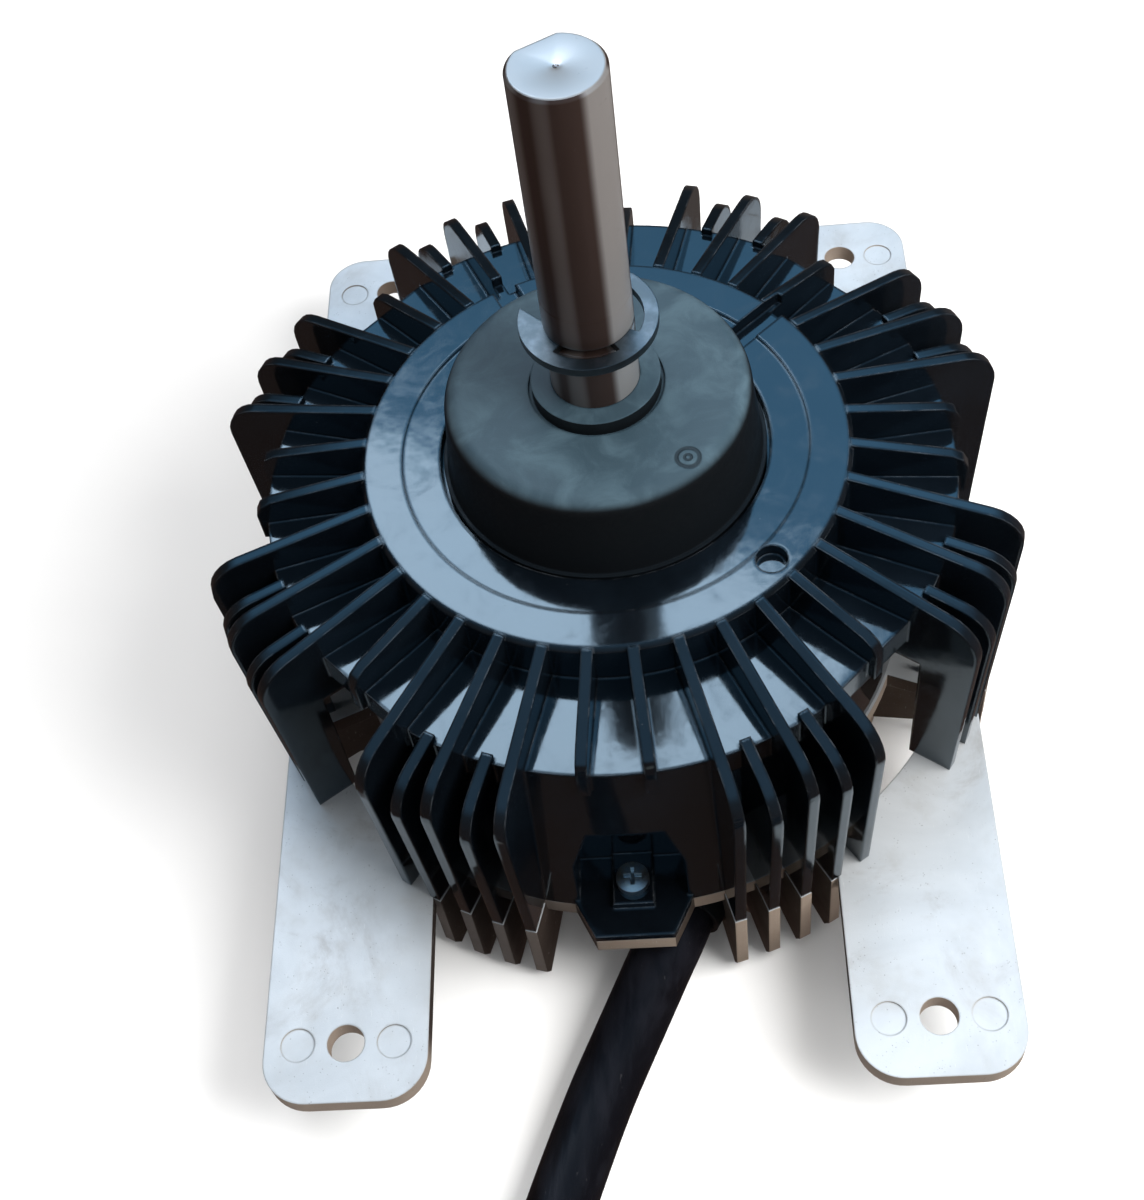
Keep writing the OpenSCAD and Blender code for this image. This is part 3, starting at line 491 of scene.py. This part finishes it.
def cast_bracket():
    """Die-cast alloy: satin grey skin with flow clouds, dark mottling, fine pits and tan walls.

    Walls are the faces that stand upright; their tan is a painted reflection of a brown table,
    with painted shade near black on the left. The flanks of the lower fins are painted darker
    than their ends as shade between the fins, and the legs, which reach past the fins, are
    painted lighter, out of that shade.
    """
    f = Finish("cast_bracket", Metallic=0.45)
    x, y, _ = f.axes()
    flow = f.noise(26, 5, 0.6, distortion=0.6)
    cloud = f.noise(90, 4, 0.6)
    reach = f.distance(x, y)
    mottle = f.noise(48, 6, 0.7, distortion=0.7).between(0.50, 0.72)
    # Dark mottling at full strength near the motor, falling to 0.35 of it from 80 to 120 mm out.
    mottle = mottle * reach.between(80 * MM, 120 * MM, 1.0, 0.35)
    pits = f.cells(1500).between(0.10, 0.22, 1, 0) * f.noise(420, 2).between(0.5, 0.66)
    grain = f.noise(5200, 2, 0.6)
    scratch = f.noise(700, 3, 0.6, stretch=(6, 0.5, 1), distortion=0.3).between(0.66, 0.74)
    nx, ny, nz = f.facing()
    wall = nz.size().between(0.35, 0.8, 1, 0)
    outward = ((nx * x + ny * y) / reach).size()
    # Painted shade between the lower fins: upright faces that don't face outward, out to FIN_ENDS.
    flank_shade = wall * outward.between(0.55, 0.8, 1, 0) * reach.between(FIN_ENDS, LEG_TO, 1, 0)
    base = f.blend(flow.between(0.35, 0.7), (0.48, 0.50, 0.515), (0.61, 0.63, 0.645))
    base = f.blend(cloud.between(0.52, 0.74) * 0.35, base, (0.42, 0.41, 0.39))
    base = f.blend(mottle * 0.42, base, (0.27, 0.245, 0.225))
    # Painted reflection and shade: upright walls take the tan of a reflected brown table, near
    # black on the left (-x) as painted shade, and plain tan on the legs.
    wall_reflection_shade = f.blend(x.between(-30 * MM, 10 * MM), (0.07, 0.050, 0.038), (0.40, 0.29, 0.20))
    wall_reflection_shade = f.blend(reach.between(LEG_FROM, LEG_TO), wall_reflection_shade, (0.40, 0.30, 0.22))
    base = f.blend(wall * 0.8, base, wall_reflection_shade)
    # Painted shade on the fin flanks.
    base = f.blend(flank_shade * 0.85, base, (0.030, 0.020, 0.015))
    base = f.blend(pits * 0.5, base, (0.16, 0.16, 0.16))
    base = f.blend(scratch * 0.35, base, (0.74, 0.74, 0.73))
    rough = 0.36 + grain * 0.12 + cloud.between(0.4, 0.7) * 0.08 + mottle * 0.12 + wall * 0.08
    height = grain * 0.5 + cloud * 0.6 - pits * 0.8 - scratch * 0.3
    normal = f.bump(height, 0.06 * MM, 0.55, rounding=0.5 * MM)
    return f.use(Base_Color=base, Roughness=rough, Normal=normal)


LIT_AND_DUSTY_FROM = 80 * MM  # rubber lower than this is painted near black, as shade under the housing, with no dust


def moulded_rubber(dark=(0.028, 0.050, 0.066), pale=(0.052, 0.088, 0.112), mark=None):
    """Matte moulded rubber: fine grain. Upward faces high on the part are painted in the lit
    colours dark to pale, bluish by default as lit by the sky, and mottled with dust; sides and low
    rubber are painted near black as shade.

    mark is the x, y and radius of a small round mould mark on top.
    """
    f = Finish("moulded_rubber", Specular_IOR_Level=0.45)
    x, y, z = f.axes()
    grain = f.noise(3800, 3, 0.6)
    dust = f.noise(120, 5, 0.65, distortion=0.6)
    # Painted light and shade: upward faces high on the part get the lit colours and dust, all else
    # near black.
    lit_dusty_top = z.above(LIT_AND_DUSTY_FROM) * f.facing()[2].between(0.35, 0.85)
    base = f.blend(lit_dusty_top, (0.003, 0.004, 0.005), f.blend(dust.between(0.38, 0.72), dark, pale))
    base = f.blend(grain.between(0.6, 0.85) * lit_dusty_top * 0.25, base, (0.09, 0.09, 0.092))
    height = grain * 0.25 + dust * 0.3
    rough = 0.50 + dust.between(0.35, 0.7) * 0.16 + grain * 0.06
    if mark is not None:
        reach = f.distance(x, y, mark[0], mark[1])
        groove = (reach - mark[2]).size().between(0.15 * MM, 0.5 * MM, 1, 0)
        dot = (reach - mark[2] * 0.3).size().between(0.1 * MM, 0.35 * MM, 1, 0)
        cut = groove.top(dot) * lit_dusty_top
        # The mark's groove and dot are painted dark as shade in the recess, as well as cut into the
        # bump.
        base = f.blend(cut * 0.75, base, (0.006, 0.008, 0.010))
        height = height - cut * 3.0
    normal = f.bump(height, 0.12 * MM, 0.6, rounding=0.5 * MM)
    return f.use(Base_Color=base, Roughness=rough, Normal=normal)


# Painted reflection bands on the shaft: direction from the axis in degrees, how narrow (the
# cosine at its edge) and how bright.
SHAFT_REFLECTION_BANDS = (
    (-111, 0.99, 0.30), (-33, 0.86, 1.8), (60, 0.97, 0.7), (110, 0.93, 0.9), (-160, 0.93, 0.5))
SHAFT_END = cad_box[1][2] - 0.15 * MM  # the shaft's end is the part's highest face


def ground_steel():
    """Ground shaft steel with fine lines, painted with lengthwise bright bands as reflections on a
    dark brown that stands for reflected dark surroundings; the end face has plain steel colour.

    A band is bright where the direction from the axis is near one of SHAFT_REFLECTION_BANDS.
    """
    f = Finish("ground_steel", Metallic=0.80)
    x, y, z = f.axes()
    reach = f.distance(x, y)
    lines = f.noise(900, 4, 0.7, stretch=(0.25, 0.25, 9.0))
    rings = (reach * 9500.0).sine() * 0.5 + 0.5
    end = z.above(SHAFT_END)
    drift = f.noise(60, 3, 0.6, stretch=(1, 1, 0.25)) * 0.05
    reflection_bands = 0
    for angle, edge, share in SHAFT_REFLECTION_BANDS:
        across = (x * math.cos(math.radians(angle)) + y * math.sin(math.radians(angle))) / reach
        reflection_bands = (across - drift).between(edge - 0.05, 0.985) * share + reflection_bands
    scuff = f.noise(420, 5, 0.7, stretch=(1, 1, 3.0)).between(0.62, 0.78)
    # Painted reflections: bright bands on a dark brown that stands for the reflected surroundings.
    base = f.blend(reflection_bands, (0.085, 0.056, 0.048), (0.50, 0.48, 0.47))
    base = f.blend(scuff * 0.25, base, (0.16, 0.13, 0.12))
    base = f.blend(end, base, f.blend(scuff, (0.56, 0.53, 0.51), (0.40, 0.39, 0.39)))
    rough = 0.26 + lines * 0.12 + scuff * 0.12
    height = lines * (1 - end) * 0.8 + rings * end * 0.05
    normal = f.bump(height, 0.012 * MM, 0.5, rounding=0.4 * MM)
    return f.use(Base_Color=base, Roughness=rough, Normal=normal)


def bright_spring():
    """Bright stamped spring steel with a faint blank grain."""
    f = Finish("bright_spring", Metallic=1.0)
    grain = f.noise(1500, 4, 0.6, stretch=(1, 6, 1))
    mottle = f.noise(300, 3)
    base = f.blend(mottle.between(0.4, 0.7), (0.15, 0.165, 0.17), (0.24, 0.255, 0.265))
    return f.use(Base_Color=base, Roughness=0.30 + grain * 0.14,
                 Normal=f.bump(grain, 0.02 * MM, 0.4, rounding=0.25 * MM))


def zinc_plate():
    """Bright zinc plating: patchy blue and straw tints, soft scratches."""
    f = Finish("zinc_plate", Metallic=1.0)
    patch = f.noise(700, 4, 0.6)
    scratch = f.noise(3000, 3, 0.6, stretch=(1, 5, 1))
    base = f.blend(patch.between(0.35, 0.7), (0.58, 0.62, 0.66), (0.76, 0.75, 0.70))
    return f.use(Base_Color=base, Roughness=0.22 + scratch * 0.2,
                 Normal=f.bump(scratch, 0.03 * MM, 0.4, rounding=0.2 * MM))


def vinyl_sleeve():
    """Soft black vinyl: lengthwise creases, slow gloss changes and lint."""
    f = Finish("vinyl_sleeve", Specular_IOR_Level=0.20)
    crease = f.noise(260, 4, 0.6, stretch=(1.0, 0.22, 1.0), distortion=0.5)
    fine = f.noise(2400, 3, 0.6)
    lint = f.noise(1400, 2, 0.5, stretch=(1, 0.4, 1)).between(0.70, 0.78)
    base = f.blend(crease.between(0.4, 0.7), (0.0026, 0.0026, 0.0040), (0.0060, 0.0062, 0.0090))
    base = f.blend(lint * 0.2, base, (0.07, 0.07, 0.075))
    rough = 0.34 + crease.between(0.35, 0.7) * 0.14 + fine * 0.06
    return f.use(Base_Color=base, Roughness=rough,
                 Normal=f.bump(crease * 0.9 + fine * 0.08, 0.6 * MM, 0.55))


def plain_moulding(
        name, dark, pale, gloss, grain_scale=2200, metal=0.0, depth=0.04 * MM, patch=160):
    """Shared recipe for hidden and small pieces: two-tone clouds, fine grain, varied gloss."""
    f = Finish(name, Metallic=metal)
    cloud = f.noise(patch, 4, 0.6)
    grain = f.noise(grain_scale, 3, 0.6)
    base = f.blend(cloud.between(0.35, 0.7), dark, pale)
    return f.use(Base_Color=base, Roughness=gloss + grain * 0.12 + cloud * 0.08,
                 Normal=f.bump(grain, depth, 0.5))


# Slot: name, dark and pale colours, gloss, and what differs from plain_moulding's own values.
PLAIN = {
    "bearing_steel": ("bearing_steel", (0.66, 0.67, 0.69), (0.78, 0.79, 0.80), 0.10,
                      {"metal": 1.0, "depth": 0.01 * MM}),
    "cage": ("pressed_cage", (0.42, 0.34, 0.20), (0.58, 0.50, 0.32), 0.30, {"metal": 1.0}),
    "bearing_shield": ("pressed_shield", (0.40, 0.41, 0.43), (0.55, 0.56, 0.58), 0.28,
                       {"metal": 1.0}),
    "spring_steel": ("blued_spring", (0.18, 0.19, 0.24), (0.34, 0.35, 0.38), 0.30, {"metal": 1.0}),
    "laminations": ("stacked_sheet", (0.20, 0.21, 0.23), (0.32, 0.33, 0.35), 0.42, {"metal": 0.9}),
    "magnet": ("sintered_magnet", (0.05, 0.05, 0.055), (0.11, 0.11, 0.12), 0.50, {}),
    "sleeve": ("thin_sleeve", (0.45, 0.46, 0.48), (0.60, 0.61, 0.62), 0.24, {"metal": 1.0}),
    "end_plate": ("turned_brass", (0.55, 0.42, 0.20), (0.70, 0.57, 0.32), 0.26, {"metal": 1.0}),
    "insulator": ("slot_resin", (0.56, 0.53, 0.43), (0.72, 0.69, 0.60), 0.42, {}),
    "copper": ("enamelled_copper", (0.36, 0.12, 0.045), (0.62, 0.26, 0.11), 0.24,
               {"metal": 0.7, "grain_scale": 900, "depth": 0.2 * MM}),
    "terminal": ("tinned_pin", (0.62, 0.50, 0.26), (0.78, 0.70, 0.48), 0.24, {"metal": 1.0}),
    "board": ("solder_mask", (0.012, 0.10, 0.035), (0.03, 0.18, 0.07), 0.30, {}),
    "chip": ("chip_body", (0.018, 0.018, 0.020), (0.035, 0.035, 0.038), 0.46, {}),
    "thermal_pad": ("soft_pad", (0.30, 0.36, 0.40), (0.44, 0.50, 0.54), 0.60, {}),
    "capacitor": ("capacitor_sleeve", (0.010, 0.018, 0.05), (0.02, 0.035, 0.09), 0.24, {}),
    "connector": ("connector_nylon", (0.46, 0.445, 0.39), (0.58, 0.565, 0.51), 0.36, {"patch": 90}),
    "wire": ("wire_jacket", (0.34, 0.03, 0.022), (0.50, 0.06, 0.045), 0.34, {}),
    "tie": ("tie_nylon", (0.48, 0.48, 0.45), (0.60, 0.60, 0.57), 0.38, {}),
    "shrink": ("shrunk_tube", (0.008, 0.008, 0.009), (0.018, 0.018, 0.020), 0.48,
               {"depth": 0.1 * MM}),
}
SLINGER_MARK = (14.6 * MM, -17.4 * MM, 1.9 * MM)  # x, y and radius
made = {
    "bracket": cast_bracket(),
    "housing": moulded_resin(),
    "black_rubber": moulded_rubber((0.010, 0.010, 0.011), (0.018, 0.018, 0.020)),
    "plated_screw": zinc_plate(),
    "shaft": ground_steel(),
    "retaining_ring": bright_spring(),
    "slinger": moulded_rubber(mark=SLINGER_MARK),
    "cable": vinyl_sleeve(),
}
for slot, (name, dark, pale, gloss, other) in PLAIN.items():
    made[slot] = plain_moulding(name, dark, pale, gloss, **other)
slot_of = {s["node"]: s["material_slot"] for s in frame["record"]["subparts"]}


def soften(piece, angle=32):
    """Joins a frame node's loose faces and shades it smooth, with edges past the angle sharp."""
    piece.data.polygons.foreach_set("use_smooth", np.full(len(piece.data.polygons), True))
    weld = piece.modifiers.new("join", "WELD")
    weld.merge_threshold = 0.001 * MM
    split = piece.modifiers.new("sharp", "EDGE_SPLIT")
    split.split_angle = math.radians(angle)
    split.use_edge_sharp = False


for name, piece in nodes.items():
    piece.data.materials.clear()
    piece.data.materials.append(made[slot_of[name]])
    soften(piece)
sleeve.data.materials.append(made["cable"])
tie.data.materials.append(made["tie"])
WIRE_TONES = {
    "red": (0.42, 0.018, 0.014), "black": (0.008, 0.008, 0.009), "white": (0.56, 0.55, 0.53),
    "yellow": (0.70, 0.46, 0.03), "blue": (0.02, 0.07, 0.34),
}
for wire, tone in zip(wires, WIRE_COLOURS):
    shade = WIRE_TONES[tone]
    wire.data.materials.append(plain_moulding(
        "wire_" + tone, shade, tuple(min(1, 1.25 * c) for c in shade), 0.30, patch=500))

# ---------------------------------------------------------------- floor and light


def make_floor():
    """Flat pale sheet just under the motor."""
    far, level = 3.0, -0.2 * MM
    corners = [(-far, -far, level), (far, -far, level), (far, far, level), (-far, far, level)]
    floor = add_piece("studio_floor", corners, [(0, 1, 2, 3)], smooth=False)
    f = Finish("pale_floor", Specular_IOR_Level=0.2)
    f.use(Base_Color=f.blend(f.noise(3, 3), (0.90, 0.90, 0.90), (0.93, 0.93, 0.93)), Roughness=0.75)
    floor.data.materials.append(f.material)
    floor.visible_glossy = False


def soft_box(name, at, facing, turn, size, watts, tint, shows):
    """Rectangular soft light at a point, facing along a direction and turned about it, in degrees.

    A fill whose shows is False lights surfaces without a reflection of its own.
    """
    data = bpy.data.lights.new(name, "AREA")
    data.shape, data.size, data.size_y = "RECTANGLE", size[0], size[1]
    data.energy, data.color = watts, tint
    lamp = bpy.data.objects.new(name, data)
    aim = Vector(facing).to_track_quat("-Z", "Y").to_matrix().to_4x4()
    lamp.matrix_world = Matrix.Translation(at) @ aim @ Matrix.Rotation(math.radians(turn), 4, "Z")
    lamp.visible_camera, lamp.visible_glossy = False, shows
    scene.collection.objects.link(lamp)


# Name, place, direction, turn, size, watts, colour, and whether it shows in reflections.
LIGHTS = (
    ("window", (-0.376, 1.249, 2.0), (0, 0, -1), -28.1, (1.145, 0.56), 10, (0.90, 0.93, 1.0), True),
    ("overhead", (0.1, 0.4, 2.4), (0, -0.1, -1), 0, (1.8, 1.4), 19, (1.0, 0.98, 0.95), False),
    ("side_fill", (0.28, -0.14, 0.34), (-0.22, 0.08, -0.32), 0, (0.28, 0.28), 3.2,
     (1.0, 0.99, 0.97), False),
)


def make_light():
    """A window, two plain fills and even surroundings.

    Matt surfaces see the surroundings as one grey. Reflections see them blue behind and overhead,
    and brown below the horizon and in front.
    """
    sky = Sky("studio")
    x, y, z = sky.axes()
    right = (x * 1.3 + y * 0.5).between(0.1, 0.6)
    low = sky.blend(right, (0.060, 0.042, 0.038), (0.13, 0.105, 0.095))
    high = sky.blend(z.between(0.40, 0.80), (0.04, 0.055, 0.070), (0.50, 1.16, 1.85))
    sheen = sky.blend(z.between(-0.05, 0.35), low, high)
    front = sky.blend(z.between(-0.2, 0.5), (0.075, 0.046, 0.036), (0.085, 0.085, 0.092))
    sheen = sky.blend(y.between(0.25, 0.60, 0.78, 0), sheen, front)
    glossy = sky.node("LightPath", {}, output="Is Glossy Ray")
    sky.use(Color=sky.blend(glossy, (0.50, 0.50, 0.50), sheen), Strength=1.0)
    for lamp in LIGHTS:
        soft_box(*lamp)


make_floor()
make_light()
scene.view_settings.view_transform = "Standard"
scene.view_settings.look = "None"
scene.view_settings.exposure = 0.0
